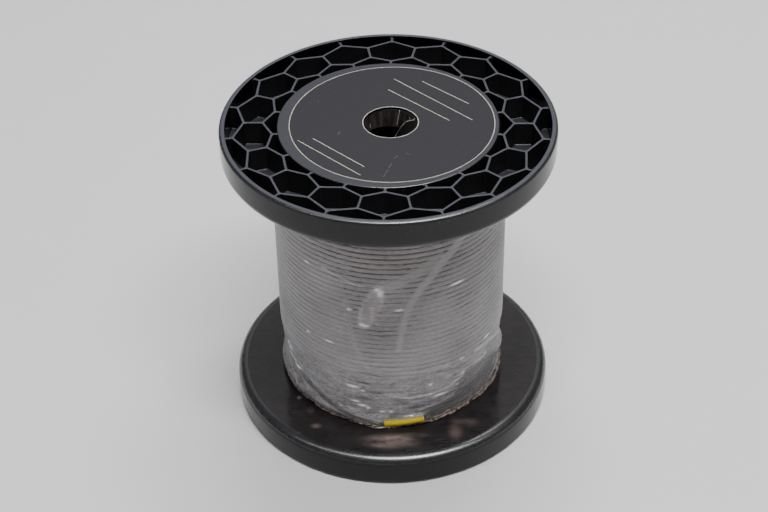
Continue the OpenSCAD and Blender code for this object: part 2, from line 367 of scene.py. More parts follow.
# The mould's inserts left fine parting lines up the bore: (lower end, upper end, width) in mm.
PARTING_LINES = [((2.97, 9.55, 4.5), (4.0, 9.17, 10.9), 0.3),
                 ((7.7, 6.38, 8.2), (7.8, 6.26, 10.1), 0.26),
                 ((-6.9, 7.2, 4.6), (-7.1, 7.1, 6.6), 0.3),
                 ((-3.0, -9.5, 4.5), (-4.0, -9.17, 10.9), 0.3)]
parting_lines = []
for low, high, width in PARTING_LINES:
    low, high = Vector(low), Vector(high)
    along = (high - low).normalized()
    outwards = Vector((low.x + high.x, low.y + high.y, 0)).normalized()
    middle = (low + high) / 2 + outwards * 0.13      # so it stands 0.12 mm proud of the wall
    turned = Matrix((outwards, along.cross(outwards), along)).transposed().to_4x4()
    parting_lines.append(block((0.5, width, (high - low).length), 0.1,
                               Matrix.Translation(middle * MM) @ turned))

upper_flange = join([body, honeycomb] + stiffeners)
plain_faces = len(upper_flange.data.polygons)
upper_flange = join([upper_flange] + parting_lines)
upper_flange.data.transform(Matrix.Translation((0, 0, (REEL_TOP - FLANGE_DEPTH) * MM)))
upper_flange.data.update()


def calc(tree, operation, *values, **settings):
    """Arithmetic on numbers, sockets or nodes."""
    return add(tree, "ShaderNodeMath", dict(enumerate(values)), operation=operation, **settings)


def ranged(tree, value, low, high, to_low=0, to_high=1, **settings):
    """Carries a value over from one range to another, and keeps it inside."""
    return add(tree, "ShaderNodeMapRange", {"Value": value, "From Min": low, "From Max": high,
                                            "To Min": to_low, "To Max": to_high}, **settings)


def cells(tree, place, size, **settings):
    """Cells of about that size in mm, as how far each place is from their middles or edges."""
    return add(tree, "ShaderNodeTexVoronoi", {"Vector": place, "Scale": 1 / (size * MM)},
               **settings)


def raised(shader, height, depth):
    """Shades the surface as raised by that height, times the depth in mm."""
    bump = add(shader.id_data, "ShaderNodeBump", {"Height": height, "Distance": depth * MM})
    feed(shader, {"Normal": bump})


def grained(name, hex_value, level, grain, depth, smooth, rough, ior=1.5):
    """Moulded skin: a fine grain in the normal, cloudy gloss and a scatter of dust."""
    material, tree, shader = finish_of(name, Base_Color=hex_value, IOR=ior,
                                       Specular_IOR_Level=level)
    place = place_in(tree)
    raised(shader, clouds(tree, place, grain), depth)
    # Handling leaves the gloss uneven over areas of a centimetre or so.
    wipe = clouds(tree, place, 9, Detail=5, Roughness=0.6, Distortion=0.6)
    feed(shader, {"Roughness": ranged(tree, wipe, 0.35, 0.75, smooth, rough)})
    # Dust and lint, 0.1 to 0.3 mm across, a few specks to the square centimetre.
    speck = cells(tree, place, 1.6)
    near = ranged(tree, speck.outputs["Distance"], 0.10, 0.05)
    sparse = add(tree, "ShaderNodeSeparateColor", {"Color": speck.outputs["Color"]})
    chosen = calc(tree, "GREATER_THAN", sparse.outputs["Red"], 0.93)
    dust = calc(tree, "MULTIPLY", near, chosen)
    feed(shader, {"Base Color": mixed(tree, dust, hex_value, "#6d6c70")})
    return material


# Polished ABS: nearly black, so what it shows is mostly the room's reflection.
polished_abs = grained("polished_black_abs", "#0c0b0e", level=0.37, grain=0.6, depth=0.002,
                       smooth=0.09, rough=0.17, ior=1.47)
# Satin ABS: the same plastic off a blasted mould wall. It lines the cells.
satin_abs = grained("satin_black_abs", "#121215", level=0.35, grain=0.35, depth=0.012,
                    smooth=0.36, rough=0.48)
# The cells' floors have gathered dust, which greys them.
dusty_abs = grained("dusty_black_abs", "#38383c", level=0.3, grain=0.5, depth=0.01,
                    smooth=0.3, rough=0.42)
# The ribs' tops, the rims' ends and the hub's collar face up and are dull. Their lighter
# grey is painted sheen, for the light that they catch from above.
sheen_painted_abs = grained("dull_black_abs_painted_sheen", "#46474e", level=0.3, grain=0.3, depth=0.012,
                     smooth=0.34, rough=0.5)
# The hub's collar is painted sheen as well, a shade darker and duller.
collar_sheen_painted_abs = grained("collar_black_abs_painted_sheen", "#37373e", level=0.3, grain=0.3, depth=0.012,
                     smooth=0.4, rough=0.55)
# The bore's wall is scored grey, up and down, by the spindles that it has been put on.
worn_abs, tree, shader = finish_of("worn_black_abs", Roughness=0.42, IOR=1.54)
drawn = add(tree, "ShaderNodeMapping", {"Vector": place_in(tree), "Scale": (1, 1, 0.3)})
score = clouds(tree, drawn, 1.8, Detail=5, Distortion=0.5)
feed(shader, {"Base Color": mixed(tree, ranged(tree, score, 0.36, 0.68), "#2b2523", "#5a5150")})
raised(shader, score, 0.03)
# The parting lines stand proud there, and are painted pale as a painted highlight along them.
parting_highlight_abs = finish_of("black_abs_painted_highlight", Base_Color="#c9c2be", Roughness=0.35, IOR=1.54)[0]
# The bore's chamfer lies under the label's overhang and is dull with its glue.
gummed_abs = finish_of("gummed_black_abs", Base_Color="#1a1718", Roughness=0.8,
                       Specular_IOR_Level=0.15)[0]
# Hands have given the rims' and the hub's rounded edges a softer and stronger gloss.
handled_edge = grained("hand_worn_black_abs", "#0c0b0e", level=1.0, grain=0.8, depth=0.0006,
                       smooth=0.26, rough=0.32)


def finish_at(face):
    """The finish of a face of the upper flange, by its place and the way it faces."""
    height = face.center.z / MM - (REEL_TOP - FLANGE_DEPTH)
    from_axis = face.center.xy.length / MM
    # The parting lines take the pale colour of a painted highlight.
    if face.index >= plain_faces:
        return parting_highlight_abs
    if from_axis < BORE_R + 1.6 and BOSS_END < height < HUB_TOP:
        return gummed_abs if height > HUB_TOP - BORE_CHAMFER - 0.35 else worn_abs
    at_lip = from_axis > FLANGE_R - LIP_ROUND and -0.999 < face.normal.z < -0.3
    at_rim = from_axis > FLANGE_R - RIM_ROUND and 0.3 < face.normal.z < 0.97
    at_hub = HUB_R - HUB_ROUND < from_axis < HUB_R and 0.3 < face.normal.z < 0.97
    if at_lip or at_rim or at_hub and height > RIB_TOP - 0.3:
        return handled_edge
    # Faces that look up from the tops take the lighter grey of painted sheen.
    if face.normal.z > 0.7 and height > RIB_TOP - 0.1:
        return collar_sheen_painted_abs if from_axis < HUB_R else sheen_painted_abs
    if RIM_IN_R > from_axis > HUB_R and abs(height - FLOOR_TOP) < 0.05:
        return dusty_abs
    if RIM_IN_R - 0.02 > from_axis > BORE_R + 0.3 and height > 1.6:
        return satin_abs
    return polished_abs


finishes = [polished_abs, satin_abs, dusty_abs, worn_abs, sheen_painted_abs, collar_sheen_painted_abs, parting_highlight_abs,
            gummed_abs, handled_edge]
for finish in finishes:
    upper_flange.data.materials.append(finish)
for face in upper_flange.data.polygons:
    face.material_index = finishes.index(finish_at(face))

# The lower flange is the same moulding, turned over.
lower_flange = upper_flange.copy()
lower_flange.data = upper_flange.data.copy()
bpy.context.scene.collection.objects.link(lower_flange)
lower_flange.name = "lower_flange_moulding"
lower_flange.data.transform(Matrix.Translation((0, 0, REEL_TOP * MM))
                            @ Matrix.Rotation(pi, 4, "X"))
lower_flange.data.update()
# Its polished face shows a painted reflection of the film and hem above it, as brownish
# patches below the film: (x, y), half widths, strength.
FILM_REFLECTION_PATCHES = [((0.5, -51.8), (12.5, 4.6), 0.9), ((2, -50.6), (8, 2.2), 0.6),
           ((-3, -54), (6, 1.8), 0.4), ((10, -48.2), (7, 1.5), 0.35),
           ((25.5, -45.5), (3.4, 7.5), 0.42), ((30, -41), (5, 3), 0.25),
           ((-28.5, -43.7), (2.6, 1.8), 0.5), ((-36.2, -27.5), (1.2, 1.4), 0.9),
           ((-31, -34.7), (2, 2.4), 0.2)]
reflection_painted_abs, tree, shader = finish_of("black_abs_painted_reflection", Roughness=0.13, IOR=1.47)
place = place_in(tree)
drawn = add(tree, "ShaderNodeMapping", {"Vector": place, "Scale": (1, 2.2, 1)})
patchy = ranged(tree, clouds(tree, drawn, 9, Detail=7, Roughness=0.62), 0.28, 0.66)
dust_and_reflection = 0.05                    # a faint film of dust all over
for (x, y), (across, along), strength in FILM_REFLECTION_PATCHES:
    from_middle = add(tree, "ShaderNodeMapping", {
        "Vector": place, "Scale": (1 / (across * MM), 1 / (along * MM), 0),
        "Location": (-x / across, -y / along, 0)})
    away = add(tree, "ShaderNodeVectorMath", {0: from_middle}, operation="LENGTH")
    spread = ranged(tree, away, 1.15, 0.1, 0, strength, interpolation_type="SMOOTHSTEP")
    dust_and_reflection = calc(tree, "ADD", spread, dust_and_reflection)
dust_and_reflection_share = calc(tree, "MULTIPLY", patchy, dust_and_reflection, use_clamp=True)
# Brownish where the painted reflection lies.
feed(shader, {"Base Color": mixed(tree, dust_and_reflection_share, "#1d1b1e", "#917f77")})
lower_flange.data.materials.append(reflection_painted_abs)
for face in lower_flange.data.polygons:
    if face.normal.z > 0.99 and abs(face.center.z / MM - FLANGE_DEPTH) < 0.01:
        face.material_index = len(finishes)
for flange, node in ((upper_flange, "upper_flange"), (lower_flange, "lower_flange")):
    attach(flange, "reel")
    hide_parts(node)

# ---- The barrel ----
# A plain tube of the same ABS, pushed over the locating rings of both flanges. The fibre
# hides it, and only its end faces and bore can be made out through the flanges' bores.
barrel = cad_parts["barrel"]
barrel.data.materials.clear()
barrel.data.materials.append(satin_abs)

# ---- The fibre ----
# Acrylic light guide in a dark grey polyethylene jacket 2.2 mm thick, wound in two layers. The
# second is wound down from the top and runs out about three centimetres above the lower
# flange, and from there the fibre comes down over the first layer to its sleeved end.
FIBRE_D = 2.2
BARREL_R = 40
LAYER_R = BARREL_R + FIBRE_D / 2
OUTER_LAYER_R = 42.99            # a turn lies in the groove between two turns below it
WIND_TOP = 111.85
PITCH = 2.245
OUTER_TURNS = 32.05
OUTER_LOW = WIND_TOP - PITCH * OUTER_TURNS
OUTER_END = 285.4                # where the last full turn of the second layer ends, degrees
WAY_DOWN = 108                   # degrees in which the fibre comes down to its last stretch
TAIL_Z = 15.9
TIP_START, TIP_R, TIP_Z = 267.6, 43.65, 14.5
TAIL_SPAN = TIP_START - OUTER_END + 360


def smooth(x):
    """An even step from 0 to 1, for a number or for each number of an array."""
    x = np.clip(x, 0, 1)
    return x * x * (3 - 2 * x)


def tail_place(past):
    """(radius, height) of the fibre's last stretch, in degrees past the second layer's end."""
    end = smooth((past - (TAIL_SPAN - 26)) / 26)
    sag = 0.9 * smooth((past - (TAIL_SPAN - 75)) / 40) * (1 - end)
    z = OUTER_LOW + (TAIL_Z - OUTER_LOW) * smooth(past / WAY_DOWN) + sag
    return OUTER_LAYER_R + (TIP_R - OUTER_LAYER_R) * end, z + (TIP_Z - TAIL_Z) * end


def meshed(name, curve):
    """The curve made into a smooth mesh piece of that name."""
    piece = bpy.data.objects.new(name, curve)
    bpy.context.scene.collection.objects.link(piece)
    piece.select_set(True)
    bpy.context.view_layer.objects.active = piece
    bpy.ops.object.convert(target="MESH")
    bpy.ops.object.shade_smooth()
    bpy.ops.object.select_all(action="DESELECT")
    return bpy.context.view_layer.objects.active


def wound(name, route, sides):
    """A tube of the fibre's thickness along the route, closed at both ends."""
    curve = bpy.data.curves.new(name, "CURVE")
    curve.dimensions = "3D"
    curve.bevel_depth = FIBRE_D / 2 * MM
    curve.bevel_resolution = sides // 2 - 2
    curve.use_fill_caps = True
    spline = curve.splines.new("POLY")
    spline.points.add(len(route) - 1)
    for point, place in zip(spline.points, route):
        point.co = (*polar(*place), 1)
    return meshed(name, curve)


def wander(along, seed, width):
    """A slow, small drift of a turn from its true place, along turns counted in along."""
    return width * noise.noise(Vector((along * 2.3, seed * 7.7, 0.5)))


PER_TURN = 90
LOWER_TURNS, LOWER_START = 43.5, 40   # the first layer's turns, and its start in degrees
route = []
for k in range(round(LOWER_TURNS * PER_TURN) + 1):
    t = k / PER_TURN
    z = WIND_TOP - PITCH * (LOWER_TURNS - t) + wander(t, 1, 0.12)
    route.append((LAYER_R, LOWER_START + t * 360, z))
lower_layer = wound("fibre_lower_layer", route, sides=8)

total_turns = OUTER_TURNS + TAIL_SPAN / 360
route = []
for k in range(round(total_turns * PER_TURN) + 1):
    t = k / PER_TURN
    radius, z = OUTER_LAYER_R, WIND_TOP - PITCH * t + wander(t, 5, 0.1)
    if t > OUTER_TURNS:
        radius, z = tail_place((t - OUTER_TURNS) * 360)
    route.append((radius, TIP_START - (total_turns - t) * 360, z))
outer_layer = wound("fibre_second_layer", route, sides=10)

# Polyethylene jacket: dark grey, waxy and fairly smooth.
jacket = mottled("grey_polyethylene_jacket", 3, "#39383b", "#525156", Roughness=0.36, IOR=1.51)
for piece, node in ((lower_layer, "fibre_inner_layers"), (outer_layer, "fibre_outer_layer")):
    piece.data.materials.append(jacket)
    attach(piece, "reel")
    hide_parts(node)

# ---- The fibre's end in its sleeve ----
# The last centimetre and a half is marked with a yellow vinyl sleeve pushed over the jacket.
# The fibre is cut square just outside it, which bares the clear acrylic core.
CORE_D, TIP_OUT, SLEEVE_D, SLEEVE_SPAN = 1.0, 0.2, 2.8, 19.9
SLEEVE_RISE = 0.9 / SLEEVE_SPAN      # mm for each degree
FIT = 0.02                           # left free between a tube and what is in it


def bar(name, outer_r, inner_r, span):
    """A bar or tube that follows the winding over the fibre's end, that many degrees long."""
    bpy.ops.mesh.primitive_circle_add(vertices=24, radius=outer_r * MM, fill_type="NGON",
                                      rotation=(pi / 2, 0, 0))
    piece = bpy.context.object
    piece.name = name
    bpy.ops.object.transform_apply(location=False, rotation=True, scale=False)
    edit_all()
    if inner_r:
        bpy.ops.mesh.inset(thickness=(outer_r - inner_r) * MM)
        bpy.ops.mesh.delete(type="FACE")
    edit_all()
    bpy.ops.transform.translate(value=(TIP_R * MM, 0, TIP_Z * MM))
    bpy.ops.mesh.spin(steps=14, angle=-radians(span), center=(0, 0, 0), axis=(0, 0, 1))
    weld()
    bpy.ops.object.mode_set(mode="OBJECT")
    for vertex in piece.data.vertices:
        vertex.co.z += SLEEVE_RISE * degrees(atan2(vertex.co.y, vertex.co.x)) * MM
    piece.data.transform(Matrix.Rotation(radians(TIP_START), 4, "Z"))
    done()
    return piece


tip_span = SLEEVE_SPAN + degrees(TIP_OUT / TIP_R)
fibre_end = bar("fibre_end", FIBRE_D / 2, CORE_D / 2 + FIT, tip_span)
core = bar("clear_core", CORE_D / 2, 0, tip_span)
sleeve = bar("yellow_sleeve", SLEEVE_D / 2, FIBRE_D / 2 + FIT, SLEEVE_SPAN)

# Clear acrylic, sawn off: bright and a little frosted at the cut.
acrylic = finish_of("clear_acrylic", Base_Color="#e9eef0", Roughness=0.12, IOR=1.49,
                    Transmission_Weight=0.85)[0]
# Yellow vinyl sleeve: soft PVC, dull, a little darker where it is gripped.
vinyl = mottled("yellow_vinyl", 1.2, "#bda402", "#dec50f", Roughness=0.55, IOR=1.5,
                Specular_IOR_Level=0.2)
for piece, node, finish, slot in ((fibre_end, "fibre_tip", jacket, "fibre_jacket"),
                                  (core, "fibre_core", acrylic, "clear_core"),
                                  (sleeve, "end_sleeve", vinyl, "yellow_sleeve")):
    piece.data.materials.append(finish)
    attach(piece, "reel")
    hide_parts(node)

# ---- The stretch film ----
# Polyethylene film a few hundredths of a millimetre thick, wound on by hand under tension in
# several turns. It clings to the fibre, is drawn in below the second layer, and its lower edge
# is gathered into a thin rolled hem.
FILM_COLUMNS, FILM_ROWS = 300, 280
FILM_TOP = 112.9
FILM_R = OUTER_LAYER_R + FIBRE_D / 2 + 0.12
SLACK = 0.1                      # between the film and the fibre's end that pushes it out
SINK, LOWER_SINK = 0.22, 0.05    # how deep it sinks into each layer's grooves
HEM_D = 0.7
# The hem's way round, as (angle, radius, height) of its middle.
HEM = [(0, 43.4, 13.25), (90, 43.5, 13.25), (180, 43.4, 13.25), (198, 43.2, 13.25),
       (204, 43.6, 13.35), (213, 43.4, 13.25), (224, 42.8, 13.15), (235, 43.6, 13.25),
       (242, 43.1, 13.15), (250, 43.5, 13.25), (258, 44.4, 13.25), (264, 45.3, 13.15),
       (269, 44.6, 13.05), (275, 43.8, 13.05), (282, 43.4, 13.1), (292, 43.8, 13.25),
       (298, 43.6, 13.25), (306, 43.2, 13.15), (315, 42.9, 13.15), (324, 43.8, 13.35),
       (331, 43.6, 13.25), (338, 44.0, 13.35), (349, 43.6, 13.25), (360, 43.4, 13.25)]

# Folds and wrinkles as lines of (angle, height) points, with their width where they start and
# end and their height in mm, how much milkier the doubled film is, and how crumpled.
FOLDS = [
    ([(308.2, 98.9), (305, 96), (299.8, 92), (294.5, 88.4), (290.9, 84.5), (285.9, 80.3),
      (282, 74.8), (279.5, 70.3), (278, 66.6), (276.5, 59.4), (274.9, 52.1)],
     2.0, 1.1, 0.14, 0.10, 0.0),
    ([(296, 92.6), (288.4, 89.7), (281.1, 86.6), (273.9, 83.5), (266.8, 81.6)],
     2.6, 2.0, 0.08, 0.06, 0.0),
    ([(237.3, 86.4), (242.3, 85.6), (247.1, 84.4), (252.2, 83.1), (257.7, 82.2)],
     0.5, 0.5, 0.20, 0.16, 0.1),
    ([(249.4, 74.1), (251, 62.4), (253.7, 53.1), (256.5, 44.6), (260.4, 41.4), (268.3, 39.8)],
     1.2, 0.8, 0.15, 0.05, 0.2),
    ([(262.5, 73.2), (262.3, 66.5)], 0.5, 0.5, 0.2, 0.16, 0.6),
    ([(318.5, 39.5), (328.9, 39), (349.2, 31.7)], 1.0, 0.8, 0.45, 0.26, 0.3),
    ([(309.5, 32.3), (317.9, 33.6), (327.2, 33.8)], 0.9, 0.7, 0.35, 0.18, 0.4),
    ([(268, 28.6), (280, 26.4), (290, 26.2), (302, 27.4), (311, 30)], 0.5, 0.5, 0.2, 0.16, 0.4),
    ([(285, 19.4), (296, 20.8), (306, 22.6)], 0.5, 0.4, 0.2, 0.22, 0.5),
    ([(203, 33), (214, 24.5), (222, 19.8)], 0.6, 0.6, 0.35, 0.2, 0.8),
    ([(198, 27), (206, 21), (214, 17.5)], 0.5, 0.5, 0.35, 0.2, 0.8),
    ([(213.7, 30), (224, 25.5), (233, 22.5)], 0.5, 0.5, 0.25, 0.12, 0.5),
]
# Painted highlights, bright points on the film: (angle, height, half widths across and up),
# degrees and mm.
GLINTS = [(266.8, 79.6, 0.7, 1.3), (265.4, 81.2, 0.8, 0.5), (257.6, 63.8, 0.8, 0.6),
          (259.4, 63.4, 0.9, 0.4), (251.3, 70.1, 0.4, 0.4), (227.6, 85.1, 0.8, 0.35),
          (225.9, 50.6, 0.5, 0.4), (203, 33, 1.2, 0.4), (205, 31.6, 1.6, 0.4),
          (305.6, 78.2, 2.4, 0.4), (275.8, 71.5, 1.2, 0.35), (327.8, 41.7, 1.6, 0.5),
          (213.7, 25.8, 2.2, 0.5), (239.3, 51.1, 1.6, 0.35), (251.3, 31.2, 2.0, 0.45),
          (256.5, 29.7, 0.6, 0.4), (252.5, 23.6, 1.4, 0.4), (256, 22.0, 1.6, 0.4),
          (259.3, 21.2, 0.6, 0.5), (266.4, 19.8, 0.9, 0.5), (270.9, 19.9, 0.5, 0.4),
          (297, 24.8, 2.4, 0.4), (310.8, 31.2, 0.7, 0.5), (291.5, 31.5, 0.5, 0.4),
          (309, 39.7, 0.5, 0.4), (207, 27.5, 3.0, 0.4)]
# Hollows under the film, with painted shade: (angle, height, widths, depth of the painted
# shadow in them).
HOLLOWS = [(278, 24.3, 3, 0.8, 0.6), (284.6, 21.3, 4, 1.2, 0.7), (292, 22.4, 4, 0.8, 0.6),
           (285.7, 25.3, 3, 0.7, 0.5), (258.9, 40.1, 3.2, 0.5, 0.5), (247, 84, 5, 0.8, 0.25),
           (249, 87.2, 6, 0.8, 0.25), (257, 34, 5, 0.7, 0.35), (247, 38, 4, 0.6, 0.3),
           (240, 43, 3, 0.6, 0.3), (262, 29.5, 4, 0.6, 0.35), (270, 34.5, 4, 0.5, 0.3),
           (258, 25.5, 3, 0.7, 0.45), (272, 17.6, 7, 0.9, 0.5), (331, 29.5, 4, 3.2, 0.45)]
# Gaps along the hem and below the drawn-in edge, with painted shade, as lines:
# (line, width, depth).
GAPS = [([(222, 22.4), (230, 20.4), (240.9, 18.6), (246.6, 17.5), (252.7, 16.4), (262, 15.6)],
         0.95, 0.8),
        ([(205, 28), (213, 24.2), (222, 21.8)], 0.9, 0.5),
        ([(291, 16), (302, 18.2), (315, 20), (330, 21.5), (345, 21)], 6.2, 0.72),
        ([(308, 25), (318, 27), (328, 27), (337, 25)], 2.0, 0.4)]

bpy.ops.mesh.primitive_grid_add(x_subdivisions=FILM_COLUMNS, y_subdivisions=FILM_ROWS, size=1)
film = bpy.context.object
film.name = "stretch_film"
flat = np.empty(len(film.data.vertices) * 3)
film.data.vertices.foreach_get("co", flat)
flat = flat.reshape(-1, 3) + 0.5
angle = (90 + 360 * flat[:, 0]) % 360    # the seam is at the back


def hem_place(angle):
    """(radius, height) of the hem's middle."""
    angles, radii, heights = zip(*HEM)
    return np.interp(angle, angles, radii), np.interp(angle, angles, heights)


hem_r, hem_z = hem_place(angle)
z = hem_z + (FILM_TOP - hem_z) * flat[:, 1]
turn_x, turn_y = np.cos(np.radians(angle)) * FILM_R, np.sin(np.radians(angle)) * FILM_R


def cloudy(across, up, seed):
    """Noise from about -1 to 1 over the film, its patches that many mm across and up."""
    return np.array([noise.noise(Vector((a / across, b / across + seed, c / up)))
                     for a, b, c in zip(turn_x, turn_y, z)])


def near(middle, height):
    """How far each place lies from one of the film's, in mm: (round the reel, upwards)."""
    return ((angle - middle + 180) % 360 - 180) * radians(FILM_R), z - height


def near_line(line):
    """Each place's distance in mm from a line, and how far along the line it lies."""
    best, share = np.full(len(z), 1e9), np.zeros(len(z))
    for i, (start, end) in enumerate(zip(line, line[1:])):
        x0, y0 = near(*start)
        dx, dy = radians(end[0] - start[0]) * FILM_R, end[1] - start[1]
        along = np.clip((x0 * dx + y0 * dy) / (dx * dx + dy * dy), 0, 1)
        away = np.hypot(x0 - dx * along, y0 - dy * along)
        share = np.where(away < best, (i + along) / (len(line) - 1), share)
        best = np.minimum(best, away)
    return best, share


def spot(middle, height, across, up):
    """1 at a place of the film, and falling off over these widths in mm round it."""
    dx, dy = near(middle, height)
    return np.exp(-(dx / across) ** 2 - (dy / up) ** 2)


# The second layer's lower edge, and the film drawn in below it.
past = (angle - OUTER_END) % 360
edge = OUTER_LOW + PITCH * (1 - past / 360) - FIBRE_D / 2
below = edge - z
radius = np.interp(below, [0, 2.4, 6.2, 11.2, 19.3], [0, -0.3, -0.85, -1.15, -1.2]) + FILM_R
loose = smooth((below + 0.5) / 3)
# Over the fibre's last stretch and over the sleeve it is pushed out again.
tail_r, tail_z = tail_place(past)
ridge = tail_r + FIBRE_D / 2 + SLACK - np.maximum(np.abs(z - tail_z) - 0.3, 0) ** 2 / 7
radius = np.where(past < TAIL_SPAN + 0.5, np.maximum(radius, ridge), radius)
on_sleeve = smooth((angle - TIP_START + 3) / 3) * smooth((TIP_START + SLEEVE_SPAN + 4 - angle) / 4)
sleeve_z = TIP_Z + SLEEVE_RISE * (angle - TIP_START)
ridge = TIP_R + SLEEVE_D / 2 + SLACK - np.maximum(np.abs(z - sleeve_z) - 0.5, 0) ** 2 / 3
radius = np.maximum(radius, radius + (ridge - radius) * on_sleeve)
on_sleeve *= (smooth((2.3 - np.abs(z - sleeve_z)) / 0.8)
              * smooth((TIP_START + SLEEVE_SPAN + 0.9 - angle) / 0.8))
# On the layer it sinks a little into each groove.
groove = 0.5 - 0.5 * np.cos(tau * ((WIND_TOP - z) / PITCH - past / 360))
radius -= SINK * groove ** 2 * (1 - loose)
lower_groove = 0.5 - 0.5 * np.cos(tau * (WIND_TOP - z) / PITCH
                                  + np.radians(angle - LOWER_START))
radius -= LOWER_SINK * lower_groove ** 2 * loose

wide, streaks, pucker = cloudy(16, 16, 1), cloudy(11, 1.7, 5), cloudy(5, 2.2, 9)
radius += 0.06 * wide * (1 - loose) + loose * (0.09 * streaks + 0.16 * pucker + 0.12)
# Milkiness: less at the top middle, as painted shade under the upper flange's overhang, and more
# on the left, as painted light.
milk = (0.53 - 0.04 * spot(268, 98, 20, 14) + 0.08 * spot(226, 84, 22, 45) + 0.08 * wide
        + 0.03 * streaks)
milk += loose * (0.05 * streaks + 0.08 * pucker + 0.02)
# How strongly the grooves' painted shade shows, place by place.
groove_shade = (0.42 + 0.5 * spot(268, 96, 17, 14) - 0.2 * spot(238, 56, 14, 18)
            + 0.22 * cloudy(14, 5, 3))
groove_shade *= 1 - 0.55 * loose
crumple = 0.12 + 0.5 * loose + 0.3 * spot(262, 72, 8, 10) + 0.15 * wide
for line, width, end_width, height, white, crinkle in FOLDS:
    away, share = near_line(line)
    width = width + (end_width - width) * share
    lift = np.exp(-(away / width) ** 4)
    radius += height * lift
    milk += white * lift
    groove_shade *= 1 - 0.9 * lift
    crumple += crinkle * lift
# The pucker left of the middle is doubled all over, and leans to the right.
across, up = near(262.2, 72.2)
away = np.hypot((across - 0.3 * up) / 3.6, up / 9.2)
blister = smooth((1.35 - away) / 0.75)
# Its outline is milkier, with a painted highlight toward its upper right and lower left.
outline_and_highlight = np.exp(-((away - 0.95) / 0.17) ** 2) * (0.55 + 0.45 * np.sin(2 * np.arctan2(up, across)))
radius += 0.25 * blister
milk += 0.15 * blister + 0.14 * outline_and_highlight
groove_shade *= 1 - 0.8 * blister
# Where the film stands off from the fibre the gap behind it is in shade, painted into the
# film as a dark tint; a band along the hem is painted with shade too.
shadow = np.zeros(len(z))
for middle, height, across, up, depth in HOLLOWS:
    shadow = np.maximum(shadow, depth * spot(middle, height, across, up) * (0.8 + 0.5 * streaks))
for line, width, depth in GAPS:
    shadow = np.maximum(shadow, depth * np.exp(-(near_line(line)[0] / width) ** 2)
                        * (0.9 + 0.3 * pucker))
shadow = np.maximum(shadow, 0.36 * smooth((hem_z + 3.6 - z) / 1.6) * (1 + 0.3 * streaks))
milk -= 0.12 * shadow
groove_shade *= 1 - 0.8 * shadow
# Doubled film looks brownish: in the folds, in the pucker and just above the hem.
warm = 0.45 * blister + 0.9 * smooth((hem_z + 2.6 - z) / 2)
for line, width, *rest in FOLDS[:4]:
    warm = np.maximum(warm, 0.12 * np.exp(-(near_line(line)[0] / (width + 0.6)) ** 2))
# The top middle is painted browner too, as painted shade under the upper flange's overhang.
warm = np.maximum(warm, 0.3 * spot(268, 98, 22, 14))
glint = np.zeros(len(z))
for middle, height, across, up in GLINTS:
    glint = np.maximum(glint, spot(middle, height, max(across, 0.6), up))
# Over the sleeve it is drawn tight and quite clear.
milk = milk * (1 - on_sleeve) + 0.01 * on_sleeve
crumple *= 1 - 0.9 * on_sleeve
# The last millimetres run in to the hem.
gather = smooth((hem_z + 1.5 - z) / 1.5)
radius = radius + (hem_r - radius) * gather

marks = {"milkiness": np.maximum(milk, 0.02), "groove_painted_shade": groove_shade,
         "crumple": crumple, "warmth": warm, "shadow": shadow, "glint": glint}
for name, values in marks.items():
    attribute = film.data.attributes.new(name, "FLOAT", "POINT")
    attribute.data.foreach_set("value", np.clip(values, 0, 1).astype(np.float32))
film.data.vertices.foreach_set("co", np.column_stack(polar(radius, angle, z)).ravel())
weld(0.01)
bpy.ops.object.mode_set(mode="OBJECT")
bpy.ops.object.shade_smooth()
bpy.ops.object.select_all(action="DESELECT")

# Polyethylene film: clear and glossy, milky where several turns cling together.
film_plastic, tree, shader = finish_of("clear_polyethylene_film", IOR=1.5, Sheen_Weight=1.0,
                                       Sheen_Roughness=0.4)
place = place_in(tree)
milk, groove_shade, crumple, warm, shadow, glint = (
    add(tree, "ShaderNodeAttribute", attribute_name=name).outputs["Fac"] for name in marks)
# The grooves between the second layer's turns take painted shade, as darker lines where the
# film is made clearer, broken by the film's own unevenness, which is drawn out along the way
# it was wound.
axes = add(tree, "ShaderNodeSeparateXYZ", {"Vector": place})
round_reel = calc(tree, "ARCTAN2", axes.outputs["Y"], axes.outputs["X"])
upwards = calc(tree, "MULTIPLY_ADD", axes.outputs["Z"], tau / (PITCH * MM),
               tau * (0.5 - WIND_TOP / PITCH))
both = calc(tree, "ADD", upwards, round_reel)
WOBBLE = 1.2                     # radians; its noise is about a half, so half of it comes off
shifted = calc(tree, "MULTIPLY_ADD", clouds(tree, place, 14, Detail=1), WOBBLE, both)
wave = calc(tree, "COSINE", calc(tree, "ADD", shifted, -WOBBLE / 2 - radians(OUTER_END)))
groove = ranged(tree, wave, 0.2, 1, interpolation_type="SMOOTHSTEP")
drawn = add(tree, "ShaderNodeMapping", {"Vector": place, "Scale": (1, 1, 7)})
streak = clouds(tree, drawn, 7, Detail=3)
broken = ranged(tree, streak, 0.38, 0.6, 0.3)
line = calc(tree, "MULTIPLY", calc(tree, "MULTIPLY", groove, broken), groove_shade)
# Crinkles finer than the folds: creased cells 1 to 3 mm across, drawn out the same way.
crossed = add(tree, "ShaderNodeMapping", {"Vector": place, "Scale": (1, 1, 2.6)})
crease = ranged(tree, cells(tree, crossed, 4.5, feature="DISTANCE_TO_EDGE"), 0, 0.12, 1, 0)
ridge = ranged(tree, cells(tree, place, 2.4, feature="DISTANCE_TO_EDGE"), 0, 0.14, 1, 0)
creases = calc(tree, "MAXIMUM", crease, ridge)
rumple = calc(tree, "MULTIPLY_ADD", creases, 0.22, streak)
relief = calc(tree, "MULTIPLY", rumple, crumple)
raised(shader, calc(tree, "MULTIPLY_ADD", line, -0.4, relief), 0.25)
